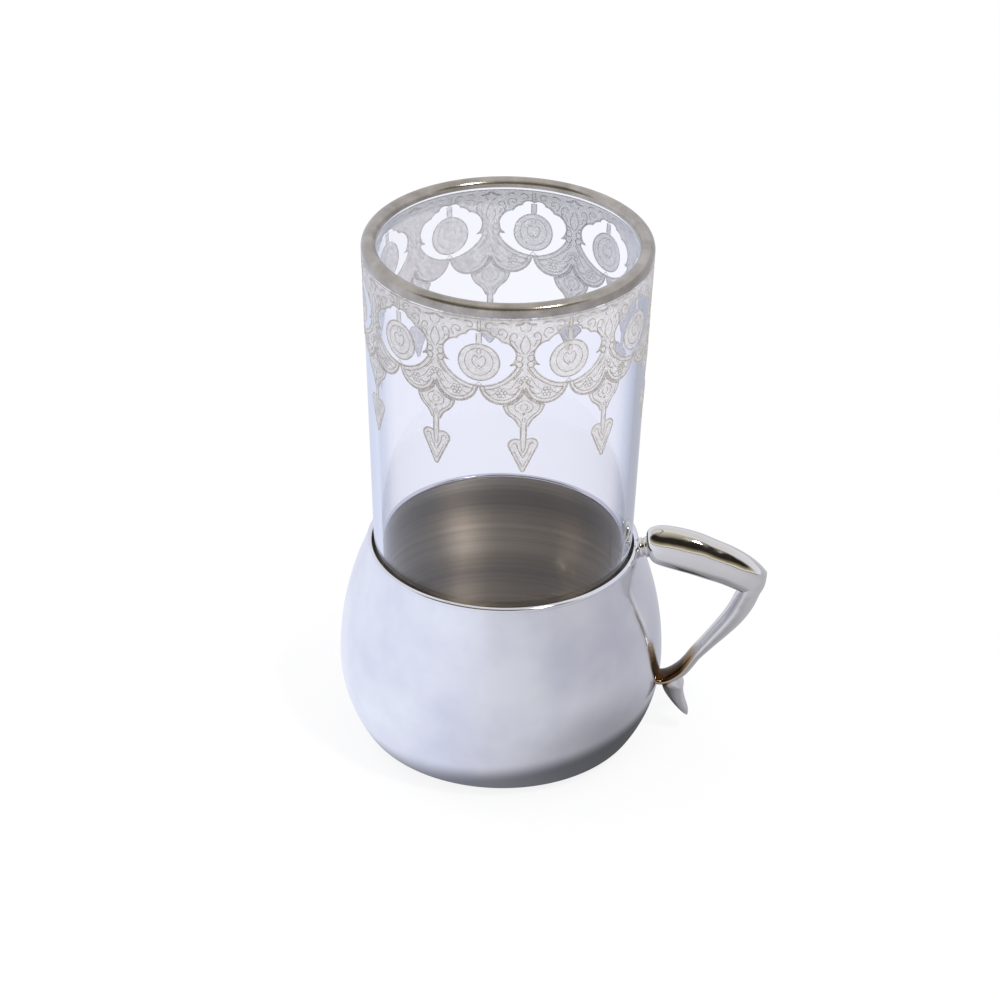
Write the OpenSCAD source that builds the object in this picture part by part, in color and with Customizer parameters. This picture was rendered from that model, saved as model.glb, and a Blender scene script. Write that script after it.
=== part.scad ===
// Tea glass holder with its glass: a round-bellied bowl of polished metal with an angular
// handle at its side, and a straight glass with a lace frieze that lifts out of the bowl.
// The origin is the centre of the bowl's base. +Z is up and the handle is at +X.

/* [Bowl] */
// Gap between the glass and the bead on the mouth
mouth_gap = 0.36; // [0.3:0.02:0.8]
// How far the belly swells out past the mouth
belly_swell = 6.05; // [4:0.05:12]
// Height of the wall, from the base to its edge
bowl_h = 46.7; // [42:0.5:52]
// Height at which the bowl is widest
belly_z = 19.1; // [16:0.5:24]
// How far the flat floor reaches past the flat of the glass's foot
floor_margin = 2.55; // [1:0.05:5]
// Rounding between the base and the side
base_round = 5.6; // [3:0.2:8]
// Thickness of the sheet
bowl_wall = 0.9; // [0.6:0.1:1.2]
// Radius of the rolled bead on the mouth
bead_r = 0.62; // [0.55:0.01:0.8]

/* [Glass] */
// Diameter over the lip
glass_d = 62.1; // [58:0.1:66]
// Height of the glass by itself
glass_h = 120.3; // [90:1:140]
// How much narrower than the lip the foot of the glass is, in diameter
glass_taper = 8.6; // [4:0.2:12]
// Thickness of the wall
glass_wall = 1.9; // [1.4:0.1:2.6]
// Thickness of the solid bottom
glass_bottom = 11; // [5:0.5:16]
// Rounding inside, between the wall and the bottom
glass_inner_round = 9; // [3:0.5:12]
// Rounding outside, around the foot
glass_heel_round = 3; // [1.5:0.5:5]
// Radius of the rounded lip
lip_r = 1.55; // [1.3:0.05:2]
// Length over which the wall swells inside, under the lip
lip_swell_h = 4; // [2:0.5:8]
// How far the lustre reaches down outside, below the middle of the lip
lustre_drop = 0.9; // [0.4:0.1:2.5]
// Depth of the hollow under the foot
punt_h = 1.2; // [0.6:0.1:2]

/* [Handle] */
// Length of the neck, from the middle of the bead to the grip
neck_l = 3; // [2.4:0.1:5]
// Radius of the neck's stem
neck_r = 1.75; // [1.4:0.05:2.2]
// Radius of the section of the neck's two rings
neck_ring_r = 0.5; // [0.3:0.05:0.55]
// Reach of the grip, from the neck to the middle of the elbow
grip_reach = 23.2; // [18:0.5:30]
// How far the middle of the grip falls over that reach
grip_fall = 7.7; // [5:0.2:12]
// Thickness of the grip where it is fullest
grip_t = 9.5; // [7:0.25:11]
// Width of the grip where it is fullest
grip_w = 8.6; // [6.5:0.25:10]
// Thickness of the limb at the elbow
limb_t = 7.4; // [6:0.2:8.6]
// Width of the limb at the elbow
limb_w = 7; // [5.5:0.25:8.5]
// Height of the middle of the foot, where the limb meets the bowl
foot_z = 13.8; // [10:0.2:20]
// How far the spur hangs below the foot
spur_h = 8.2; // [4:0.2:10]

/* [Frieze] */
// Repeats around the glass
repeats = 10; // [8:1:12]
// Bare glass between the lustre and the top of the lace field
field_gap = 0.3; // [0.2:0.1:2]
// Depth from the top of the lace field to the middle of its medallions
medallion_inset = 10.1; // [9:0.1:13]
// Width of the field between two clear windows
column_w = 4.4; // [3:0.1:7]
// Height of a clear window
window_h = 12.9; // [11:0.2:13.5]
// Diameter of a medallion
medallion_d = 9; // [7:0.1:9.4]
// How far the cusps between the scallops lie below the scallops' middles
cusp_drop = 0.7; // [0.5:0.1:2.5]
// Length of a pendant, from its peak between two scallops to its tip
pendant_h = 20.6; // [14:0.5:24]
// Width of a pendant's leaf
leaf_w = 9.2; // [7:0.2:10]
// Thickness of the fired enamel and of the lustre on the lip
enamel_t = 0.12; // [0.08:0.02:0.2]

/* [Hidden] */
$fn = 96;
// Overrun of every cut past the surface that it cuts
cut_over = 2;

// Glass: a slim cone under a round lip, standing on the bowl's floor
floor_z = bowl_wall;
lip_z = floor_z + glass_h - lip_r;
lip_ring_r = glass_d / 2 - lip_r;
foot_r = (glass_d - glass_taper) / 2;
glass_slope = (glass_d / 2 - foot_r) / (lip_z - floor_z);
glass_lean = atan(glass_slope);
heel_x = foot_r - glass_heel_round * (1 - sin(glass_lean)) / cos(glass_lean);
inner_floor_z = floor_z + glass_bottom;
punt_r = foot_r - 2 * glass_heel_round;
// Angle down the lip's inner side at which the swell under it starts
swell_angle = 20;

// Bead: a round wire with a flat that sits on the edge of the wall, clear of the glass
bead_z = bowl_h + bead_r / 2;
bead_ring_r = foot_r + (bead_z - floor_z) * glass_slope + mouth_gap + bead_r;
bead_outer_r = bead_ring_r + bead_r;

// Bowl: two side arcs that meet at the belly, and a corner arc down to the base
bowl_r = bead_ring_r + bowl_wall / 2 + belly_swell;
bowl_d = 2 * bowl_r;
base_r = heel_x + floor_margin;
mouth_rise = bowl_h - belly_z;
upper_arc_r = (mouth_rise * mouth_rise + belly_swell * belly_swell) / (2 * belly_swell);
corner_in = bowl_r - base_r;
corner_down = belly_z - base_round;
lower_arc_r = (corner_in * corner_in + corner_down * corner_down - base_round * base_round)
    / (2 * (corner_in - base_round));
corner_angle = atan2(corner_down, lower_arc_r - corner_in);

// Handle: the neck leaves the bowl beside the bead, and the grip starts at the neck's face
neck_rise = 12;
neck_z = bead_z;
grip_lift = neck_r / 3;
grip_x = bead_ring_r + neck_l * cos(neck_rise) - grip_lift * sin(neck_rise);
grip_z = neck_z + neck_l * sin(neck_rise) + grip_lift * cos(neck_rise);
elbow_x = grip_x + grip_reach;
elbow_z = grip_z - grip_fall;
foot_drop = belly_z - foot_z;
foot_in_x = bowl_r - lower_arc_r + sqrt(lower_arc_r * lower_arc_r - foot_drop * foot_drop) - bowl_wall;
limb_in = elbow_x - foot_in_x;
limb_drop = elbow_z - foot_z;
section_sides = 24;
steps_per_station = 2;
// Each station: share of the reach, share of the fall, lean of the section in degrees,
// share of the thickness, share of the width, squareness of the section
grip_station_shares = [
    [0, 0, -neck_rise, 0.6, 0.7, 2.1],
    [0.03, -0.02, -9, 0.8, 0.85, 2.1],
    [0.11, -0.03, 1, 0.94, 0.94, 2.1],
    [0.25, 0.04, 8, 1, 0.98, 2.1],
    [0.43, 0.17, 13.5, 1, 1, 2.1],
    [0.59, 0.34, 16.5, 0.96, 0.98, 2.1],
    [0.74, 0.5, 19, 0.92, 0.95, 2.1],
    [0.87, 0.69, 27, 0.86, 0.91, 2.15],
    [0.95, 0.85, 40, 0.8, 0.86, 2.2]
];
// The last station of the grip is the first of the limb, on the mitre
mitre_lean = 56;
mitre_square = 2.2;
limb_station_shares = [
    [0.02, 0.072, 70, 0.9, 0.98, 2.2],
    [0.055, 0.135, 80, 0.78, 0.94, 2.3],
    [0.11, 0.24, 103, 0.68, 0.88, 2.4],
    [0.19, 0.35, 117, 0.62, 0.82, 2.5],
    [0.295, 0.462, 124, 0.55, 0.76, 2.7],
    [0.4, 0.565, 125, 0.48, 0.73, 2.9],
    [0.5, 0.662, 123, 0.42, 0.73, 3],
    [0.585, 0.745, 121, 0.385, 0.76, 3.2],
    [0.655, 0.83, 124, 0.38, 0.8, 3.4],
    [0.73, 0.905, 136, 0.38, 0.83, 3.4],
    [0.83, 0.965, 158, 0.34, 0.84, 3.4],
    [0.92, 0.995, 174, 0.29, 0.83, 3.2],
    [1, 1, 180, 0.27, 0.82, 3.2]
];
// The same for the spur, but with shares of the spur's length for places
spur_station_shares = [
    [0.04, -0.17, 132, 0.24, 0.7, 3.2],
    [-0.05, 0.08, 104, 0.64, 0.82, 3.4],
    [-0.05, 0.24, 92, 0.62, 0.78, 3.4],
    [0.035, 0.5, 77, 0.45, 0.66, 3.2],
    [0.165, 0.77, 65, 0.31, 0.54, 2.8],
    [0.3, 1, 58, 0.19, 0.4, 2.6],
    [0.365, 1.12, 55, 0.06, 0.25, 2.4]
];
// Where the spur hangs, as a share of the limb's run from the elbow to the foot
spur_along_share = 0.79;

// Frieze: flat motifs laid on the glass, all sized from the window and the pendant
enamel_gap = 0.01;
field_top_z = lip_z - lustre_drop - field_gap;
medallion_z = field_top_z - medallion_inset;
repeat_angle = 360 / repeats;
repeat_w = glass_d * sin(180 / repeats);
frieze_turn = 12.4;
window_w = repeat_w - column_w;
scallop_x = repeat_w / 4;
scallop_r = sqrt(scallop_x * scallop_x + cusp_drop * cusp_drop);
scallop_z = medallion_z - 0.43 * window_h;
peak_z = medallion_z - 0.49 * window_h;
// Each lobe of a window: shares of its width for the place across and the radius,
// share of its height for the place up
window_lobe_shares = [[0, 0, 0.36], [0.31, 0.12, 0.2], [0.16, 0.27, 0.165], [0.075, 0.433, 0.1]];
window_bowl_share = 0.58;
window_brow_share = 0.07;
stem_share = 0.09;

// Radius of the glass outside, at height z
function glass_r(z) = foot_r + (z - floor_z) * glass_slope;
// Radius of the glass inside, at height z
function bore_r(z) = glass_r(z) - glass_wall / cos(glass_lean);
// Power that keeps its sign, for a section between round and square
function swell(v, square) = sign(v) * pow(abs(v), 2 / square);
// One section across the handle: its middle, lean, thickness, width and squareness
function section(s) = [for (i = [0:section_sides - 1])
    let (a = 360 * i / section_sides, up = s[3] / 2 * swell(cos(a), s[5]))
    [s[0] + up * sin(s[2]), s[4] / 2 * swell(sin(a), s[5]), s[1] + up * cos(s[2])]];
// Smooth value between b and c, with a before them and d after them
function between(a, b, c, d, t) = 0.5 * (2 * b + (c - a) * t
    + (2 * a - 5 * b + 4 * c - d) * t * t + (3 * b - a - 3 * c + d) * t * t * t);
function refined(list) = let (last = len(list) - 1) concat(
    [for (i = [0:last - 1]) for (j = [0:steps_per_station - 1])
        between(list[max(i - 1, 0)], list[i], list[i + 1], list[min(i + 2, last)],
            j / steps_per_station)],
    [list[last]]);
function station(from, reach, fall, t, w, shares) = [from[0] + reach * shares[0],
    from[1] - fall * shares[1], shares[2], t * shares[3], w * shares[4], shares[5]];

mitre_station = [elbow_x, elbow_z, mitre_lean, limb_t, limb_w, mitre_square];
grip_stations = concat([for (s = grip_station_shares)
    station([grip_x, grip_z], grip_reach, grip_fall, grip_t, grip_w, s)], [mitre_station]);
limb_stations = concat([mitre_station], [for (s = limb_station_shares)
    station([elbow_x, elbow_z], -limb_in, limb_drop, limb_t, limb_w, s)]);
spur_stations = [for (s = spur_station_shares)
    station([elbow_x - limb_in * spur_along_share, foot_z], spur_h, spur_h, limb_t, limb_w, s)];

// Skin over a row of sections, with flat ends
module skin(stations) {
    rows = refined(stations);
    k = section_sides;
    last = len(rows) - 1;
    polyhedron(
        points = [for (s = rows) each section(s)],
        faces = concat(
            [for (r = [0:last - 1]) for (i = [0:k - 1]) let (j = (i + 1) % k)
                each [[r * k + i, r * k + j, r * k + k + j], [r * k + i, r * k + k + j, r * k + k + i]]],
            [[for (i = [k - 1:-1:0]) i]],
            [[for (i = [0:k - 1]) last * k + i]]));
}

// Outline of the bowl, moved inwards by inset and reaching up to top_z
module bowl_outline(inset, top_z) {
    corner_top_z = base_round - (base_round - inset) * sin(corner_angle);
    difference() {
        intersection() {
            translate([bowl_r - upper_arc_r, belly_z]) circle(r = upper_arc_r - inset);
            translate([0, inset]) square([bowl_d, top_z - inset]);
        }
        difference() {
            translate([base_r, corner_top_z]) square([bowl_d, belly_z - corner_top_z]);
            translate([bowl_r - lower_arc_r, belly_z]) circle(r = lower_arc_r - inset);
        }
        difference() {
            translate([base_r, -cut_over]) square([bowl_d, corner_top_z + cut_over]);
            translate([base_r, base_round]) circle(r = base_round - inset);
        }
    }
}

module bead_outline() {
    translate([bead_ring_r, bead_z]) circle(r = bead_r);
}

module bowl_shell() {
    color("silver") rotate_extrude() difference() {
        bowl_outline(0, bowl_h);
        bowl_outline(bowl_wall, bowl_h + cut_over);
    }
}

module rim_bead() {
    color("gainsboro") rotate_extrude() intersection() {
        bead_outline();
        translate([0, bowl_h]) square([bowl_d, 2 * bead_r]);
    }
}

// Everything that the neck must stay outside of
module bowl_and_bead() {
    rotate_extrude() {
        bowl_outline(0, bowl_h);
        bead_outline();
        translate([0, bead_z]) square([bead_outer_r, grip_t]);
    }
}

module handle_neck() {
    color("lightgray") difference() {
        translate([bead_ring_r, 0, neck_z]) rotate([0, 90 - neck_rise, 0]) rotate_extrude() {
            square([neck_r, neck_l]);
            translate([neck_r, bead_r + 1.2 * neck_ring_r]) circle(r = neck_ring_r);
            translate([neck_r + neck_ring_r / 4, neck_l - neck_ring_r]) circle(r = neck_ring_r);
        }
        bowl_and_bead();
    }
}

module handle_grip() {
    color("silver") skin(grip_stations);
}

module handle_limb() {
    color("lightgray") difference() {
        union() {
            skin(limb_stations);
            skin(spur_stations);
        }
        rotate_extrude() bowl_outline(0, bowl_h);
    }
}

module glass_body() {
    polygon([[0, floor_z], [heel_x, floor_z],
        [heel_x + glass_heel_round * cos(glass_lean), floor_z + glass_heel_round * (1 - sin(glass_lean))],
        [glass_d / 2, lip_z], [0, lip_z]]);
    translate([heel_x, floor_z + glass_heel_round]) circle(r = glass_heel_round);
}

module glass_bore() {
    round_z = inner_floor_z + glass_inner_round;
    round_x = bore_r(round_z) - glass_inner_round / cos(glass_lean);
    polygon([[0, inner_floor_z], [round_x, inner_floor_z],
        [round_x + glass_inner_round * cos(glass_lean), round_z - glass_inner_round * sin(glass_lean)],
        [bore_r(lip_z + cut_over), lip_z + cut_over], [0, lip_z + cut_over]]);
    translate([round_x, round_z]) circle(r = glass_inner_round);
}

module tumbler() {
    punt_ball_r = (punt_r * punt_r + punt_h * punt_h) / (2 * punt_h);
    swell_z = lip_z - lip_swell_h;
    color("lavender", 0.5) rotate_extrude() {
        difference() {
            glass_body();
            glass_bore();
            translate([0, floor_z + punt_h - punt_ball_r]) circle(r = punt_ball_r);
        }
        translate([lip_ring_r, lip_z]) circle(r = lip_r);
        polygon([[bore_r(swell_z), swell_z], [glass_r(swell_z), swell_z], [glass_d / 2, lip_z],
            [lip_ring_r, lip_z],
            [lip_ring_r - lip_r * cos(swell_angle), lip_z - lip_r * sin(swell_angle)]]);
    }
}

module lip_lustre() {
    edge_z = lip_z - lustre_drop;
    edge_r = glass_r(edge_z) + enamel_gap;
    top_r = glass_d / 2 + enamel_gap;
    color("darkgray") rotate_extrude() {
        intersection() {
            difference() {
                translate([lip_ring_r, lip_z]) circle(r = lip_r + enamel_gap + enamel_t);
                translate([lip_ring_r, lip_z]) circle(r = lip_r + enamel_gap);
            }
            translate([0, lip_z]) square([glass_d, 2 * lip_r]);
        }
        polygon([[edge_r, edge_z], [edge_r + enamel_t, edge_z],
            [top_r + enamel_t, lip_z], [top_r, lip_z]]);
    }
}

// Thin coat on the outside of the glass, from low_z to high_z
module coat(low_z, high_z) {
    low_r = glass_r(low_z) + enamel_gap;
    high_r = glass_r(high_z) + enamel_gap;
    rotate_extrude() polygon([[low_r, low_z], [low_r + enamel_t, low_z],
        [high_r + enamel_t, high_z], [high_r, high_z]]);
}

// A flat motif repeated around the glass, seen from outside, turned by a share of a repeat
module around(turn_share) {
    for (i = [0:repeats - 1]) rotate([0, 0, frieze_turn + (i + turn_share) * repeat_angle])
        translate([foot_r, 0, 0]) rotate([90, 0, 90])
            linear_extrude(height = glass_d / 2 + cut_over - foot_r) children();
}

module mirrored() {
    children();
    mirror([1, 0]) children();
}

module window_outline() {
    crown_lobe = window_lobe_shares[len(window_lobe_shares) - 1];
    translate([0, medallion_z]) {
        mirrored() for (s = window_lobe_shares)
            translate([window_w * s[0], window_h * s[1]]) circle(r = window_w * s[2]);
        // Clear all the way up between the two lobes of the crown
        translate([-window_w * crown_lobe[0], 0])
            square([2 * window_w * crown_lobe[0], window_h * crown_lobe[1]]);
        intersection() {
            translate([0, window_w * window_bowl_share - 0.45 * window_h])
                circle(r = window_w * window_bowl_share);
            translate([-window_w, -window_h - window_h * window_brow_share])
                square([2 * window_w, window_h]);
        }
    }
}

module scallops_outline() {
    mirrored() translate([scallop_x, scallop_z]) circle(r = scallop_r);
}

// A ring with windows down to a level above the cusps, and the scallops below that level
module frieze_field() {
    level_z = scallop_z - 0.6 * cusp_drop;
    color("whitesmoke") {
        difference() {
            coat(level_z, field_top_z);
            around(0) window_outline();
        }
        intersection() {
            coat(scallop_z - scallop_r - cut_over, level_z);
            around(0) scallops_outline();
        }
    }
}

module frieze_medallions() {
    color("gainsboro") intersection() {
        coat(medallion_z - window_h, field_top_z);
        around(0) intersection() {
            window_outline();
            union() {
                translate([0, medallion_z - 0.03 * window_h]) circle(d = medallion_d);
                translate([-window_w * stem_share / 2, medallion_z - window_h])
                    square([window_w * stem_share, 2 * window_h]);
            }
        }
    }
}

module pendant_outline() {
    leaf_r = leaf_w / 2;
    stem_w = leaf_w * 0.165;
    heart_r = leaf_w * 0.18;
    tip_r = leaf_w * 0.065;
    leaf_z = peak_z - 0.16 * pendant_h;
    stem_top_z = peak_z - 0.44 * pendant_h;
    heart_z = peak_z - 0.67 * pendant_h;
    tip_z = peak_z - pendant_h;
    translate([0, leaf_z]) circle(r = leaf_r);
    translate([0, tip_z + tip_r]) circle(r = tip_r);
    translate([-stem_w / 2, heart_z]) square([stem_w, leaf_z - heart_z]);
    mirrored() {
        polygon([[0, leaf_z], [leaf_r * 0.87, leaf_z - leaf_r * 0.5],
            [leaf_r * 0.42, leaf_z - leaf_r * 1.0], [stem_w / 2, stem_top_z], [0, stem_top_z]]);
        translate([heart_r, heart_z]) circle(r = heart_r);
        polygon([[0, heart_z], [heart_r * 1.94, heart_z - heart_r * 0.3],
            [tip_r, tip_z + tip_r], [0, tip_z + tip_r]]);
    }
}

module frieze_pendants() {
    color("gainsboro") difference() {
        intersection() {
            coat(peak_z - pendant_h - cut_over, scallop_z);
            around(0.5) pendant_outline();
        }
        around(0) scallops_outline();
    }
}

bowl_shell();
rim_bead();
handle_neck();
handle_grip();
handle_limb();
tumbler();
lip_lustre();
frieze_field();
frieze_medallions();
frieze_pendants();
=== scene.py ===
import math

import bmesh
import bpy
from mathutils import Matrix, Vector
from mathutils.geometry import delaunay_2d_cdt


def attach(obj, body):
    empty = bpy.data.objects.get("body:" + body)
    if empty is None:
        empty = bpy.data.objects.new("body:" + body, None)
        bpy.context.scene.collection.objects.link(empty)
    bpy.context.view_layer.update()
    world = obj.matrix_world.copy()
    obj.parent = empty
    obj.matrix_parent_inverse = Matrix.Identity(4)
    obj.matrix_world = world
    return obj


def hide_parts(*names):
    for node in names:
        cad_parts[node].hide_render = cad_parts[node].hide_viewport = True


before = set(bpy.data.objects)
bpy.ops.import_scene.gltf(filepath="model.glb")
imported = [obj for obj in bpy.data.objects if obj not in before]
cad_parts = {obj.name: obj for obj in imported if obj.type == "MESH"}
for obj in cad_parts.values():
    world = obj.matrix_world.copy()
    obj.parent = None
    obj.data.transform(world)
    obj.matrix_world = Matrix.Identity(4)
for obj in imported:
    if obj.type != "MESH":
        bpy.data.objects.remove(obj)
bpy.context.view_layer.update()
mm = 0.001
print("frame loaded")


# Settings of the two main pieces, in millimetres and degrees

tumbler = {
    "lipWidth": 62.1,
    "height": 120.3,
    "taper": 8.6,
    "wall": 1.9,
    "bottom": 11.0,
    "innerRound": 9.0,
    "heelRound": 3.0,
    "lipRadius": 1.55,
    "swellHeight": 4.0,
    "swellAngle": 20.0,
    "puntDepth": 1.2,
    "segments": 256,
}
bowl = {
    "height": 46.7,
    "bellyHeight": 19.1,
    "bellySwell": 6.05,
    "mouthGap": 0.36,
    "floorMargin": 2.55,
    "baseRound": 5.6,
    "wall": 0.9,
    "beadRadius": 0.62,
    "shadeBandSpan": 47.0,  # height over which the bands of painted shade and light run
    "segments": 256,
}


# Sizes that several pieces share

floorZ = bowl["wall"]
lipZ = floorZ + tumbler["height"] - tumbler["lipRadius"]
lipRing = tumbler["lipWidth"] / 2 - tumbler["lipRadius"]
footR = (tumbler["lipWidth"] - tumbler["taper"]) / 2
slope = (tumbler["lipWidth"] / 2 - footR) / (lipZ - floorZ)
lean = math.atan(slope)
heelX = footR - tumbler["heelRound"] * (1 - math.sin(lean)) / math.cos(lean)
heelZ = floorZ + tumbler["heelRound"]


def glassOut(z):
    return footR + (z - floorZ) * slope


def glassIn(z):
    return glassOut(z) - tumbler["wall"] / math.cos(lean)


beadZ = bowl["height"] + bowl["beadRadius"] / 2
beadRing = glassOut(beadZ) + bowl["mouthGap"] + bowl["beadRadius"]
baseR = heelX + bowl["floorMargin"]
bowlR = beadRing + bowl["wall"] / 2 + bowl["bellySwell"]
mouthRise = bowl["height"] - bowl["bellyHeight"]
upperArcR = (mouthRise ** 2 + bowl["bellySwell"] ** 2) / (2 * bowl["bellySwell"])
cornerIn = bowlR - baseR
cornerDown = bowl["bellyHeight"] - bowl["baseRound"]
lowerArcR = ((cornerIn ** 2 + cornerDown ** 2 - bowl["baseRound"] ** 2)
             / (2 * (cornerIn - bowl["baseRound"])))


# Mesh helpers. Angles are in degrees

def arc(centreX, centreY, radius, start, end, steps):
    points = []
    for i in range(steps + 1):
        a = math.radians(start + (end - start) * i / steps)
        points.append((centreX + radius * math.cos(a), centreY + radius * math.sin(a)))
    return points


def between(a, b, steps):
    return [(a[0] + (b[0] - a[0]) * i / steps, a[1] + (b[1] - a[1]) * i / steps)
            for i in range(1, steps)]


# A smooth row through the given ones, with steps from each to the next
def smoothRow(rows, steps):
    last = len(rows) - 1
    out = []
    for i in range(last):
        a, b, c, d = rows[max(i - 1, 0)], rows[i], rows[i + 1], rows[min(i + 2, last)]
        for j in range(steps):
            t = j / steps
            out.append(tuple(0.5 * (2 * q + (r - p) * t + (2 * p - 5 * q + 4 * r - s) * t * t
                                    + (3 * q - p - 3 * r + s) * t ** 3)
                             for p, q, r, s in zip(a, b, c, d)))
    out.append(tuple(float(v) for v in rows[last]))
    return out


def linkObject(name, data):
    obj = bpy.data.objects.new(name, data)
    bpy.context.scene.collection.objects.link(obj)
    return obj


def smoothObject(name, mesh, sharpAngle):
    mesh.shade_smooth()
    mesh.set_sharp_from_angle(angle=math.radians(sharpAngle))
    return linkObject(name, mesh)


def meshObject(name, bm, sharpAngle=35):
    bmesh.ops.remove_doubles(bm, verts=bm.verts[:], dist=1e-7)
    bmesh.ops.recalc_face_normals(bm, faces=bm.faces[:])
    mesh = bpy.data.meshes.new(name)
    bm.to_mesh(mesh)
    bm.free()
    return smoothObject(name, mesh, sharpAngle)


# A profile of (radius, height) points turned round the axis. U runs round it, V along the profile
# in metres, and the faces from insideFrom on take the second material
def turned(name, profile, segments, closed=False, insideFrom=None, sharpAngle=35):
    bm = bmesh.new()
    uv = bm.loops.layers.uv.new("turned")
    rings = []
    for r, z in profile:
        if r < 1e-6:
            rings.append([bm.verts.new((0, 0, z * mm))])
            continue
        ring = []
        for k in range(segments):
            a = 2 * math.pi * k / segments
            ring.append(bm.verts.new((r * math.cos(a) * mm, r * math.sin(a) * mm, z * mm)))
        rings.append(ring)
    along = [0.0]
    for a, b in zip(profile, profile[1:] + profile[:1]):
        along.append(along[-1] + math.dist(a, b) * mm)
    for i in range(len(rings) if closed else len(rings) - 1):
        lower, upper = rings[i], rings[(i + 1) % len(rings)]
        for k in range(segments):
            k2 = (k + 1) % segments
            if len(lower) == 1:
                corners = [(lower[0], k, i), (upper[k2], k + 1, i + 1), (upper[k], k, i + 1)]
            elif len(upper) == 1:
                corners = [(lower[k], k, i), (lower[k2], k + 1, i), (upper[0], k, i + 1)]
            else:
                corners = [(lower[k], k, i), (lower[k2], k + 1, i),
                           (upper[k2], k + 1, i + 1), (upper[k], k, i + 1)]
            face = bm.faces.new([c[0] for c in corners])
            for loop, (_, turn, row) in zip(face.loops, corners):
                loop[uv].uv = (turn / segments, along[row])
            if insideFrom is not None and i >= insideFrom:
                face.material_index = 1
    return meshObject(name, bm, sharpAngle)


# Colour and node helpers

def hexColor(code):
    channels = [int(code[i:i + 2], 16) / 255 for i in (1, 3, 5)]
    linear = [c / 12.92 if c <= 0.04045 else ((c + 0.055) / 1.055) ** 2.4 for c in channels]
    return (*linear, 1.0)


# Adds a node. An input is given a value, another node's output, or a node, which stands for its
# first output. Stops fill a colour ramp
def addNode(tree, kind, inputs=None, stops=None, **settings):
    node = tree.nodes.new(kind)
    for name, value in settings.items():
        setattr(node, name, value)
    for socket, value in (inputs or {}).items():
        if isinstance(value, bpy.types.Node):
            value = value.outputs[0]
        if isinstance(value, bpy.types.NodeSocket):
            tree.links.new(value, node.inputs[socket])
        else:
            node.inputs[socket].default_value = value
    for i, (position, color) in enumerate(stops or []):
        elements = node.color_ramp.elements
        element = elements[i] if i < len(elements) else elements.new(position)
        element.position = position
        element.color = hexColor(color)
    return node


# An empty material with its node tree and its texture coordinates
def newMaterial(name):
    material = bpy.data.materials.new(name)
    material.use_nodes = True
    tree = material.node_tree
    tree.nodes.clear()
    return material, tree, addNode(tree, "ShaderNodeTexCoord").outputs


def placePiece(obj, body, slot, materials, *nodes):
    for material in materials:
        obj.data.materials.append(material)
    if nodes:
        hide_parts(*nodes)
    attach(obj, body)


# The lamps shine through the glass into the bowl, and what the metal mirrors skips the glass, so
# that the few bounces of a path reach the room
def letLightThrough(obj):
    obj.visible_shadow = False
    obj.visible_glossy = False


# Materials

def makePolishedSilver():
    # Silver plate buffed on a wheel: a cool mirror with a faint haze and slow waves in the sheet
    material, tree, coords = newMaterial("polishedSilverPlate")
    place = coords["Object"]
    waves = addNode(tree, "ShaderNodeTexNoise", {"Vector": place, "Scale": 45.0, "Detail": 1.0})
    bump = addNode(tree, "ShaderNodeBump", {"Height": waves, "Strength": 0.05, "Distance": 0.001})
    clouds = addNode(tree, "ShaderNodeTexNoise", {"Vector": place, "Scale": 48.0, "Detail": 4.0})
    tint = addNode(tree, "ShaderNodeValToRGB", {"Fac": clouds},
                   [(0.38, "#e4e5ee"), (0.62, "#f5f6fa")])
    haze = addNode(tree, "ShaderNodeMapRange", {"Value": clouds, "From Min": 0.3, "From Max": 0.7,
                                                "To Min": 0.16, "To Max": 0.1})
    shader = addNode(tree, "ShaderNodeBsdfPrincipled",
                     {"Base Color": tint, "Metallic": 1.0, "Roughness": haze, "Normal": bump})
    addNode(tree, "ShaderNodeOutputMaterial", {"Surface": shader})
    return material


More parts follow.
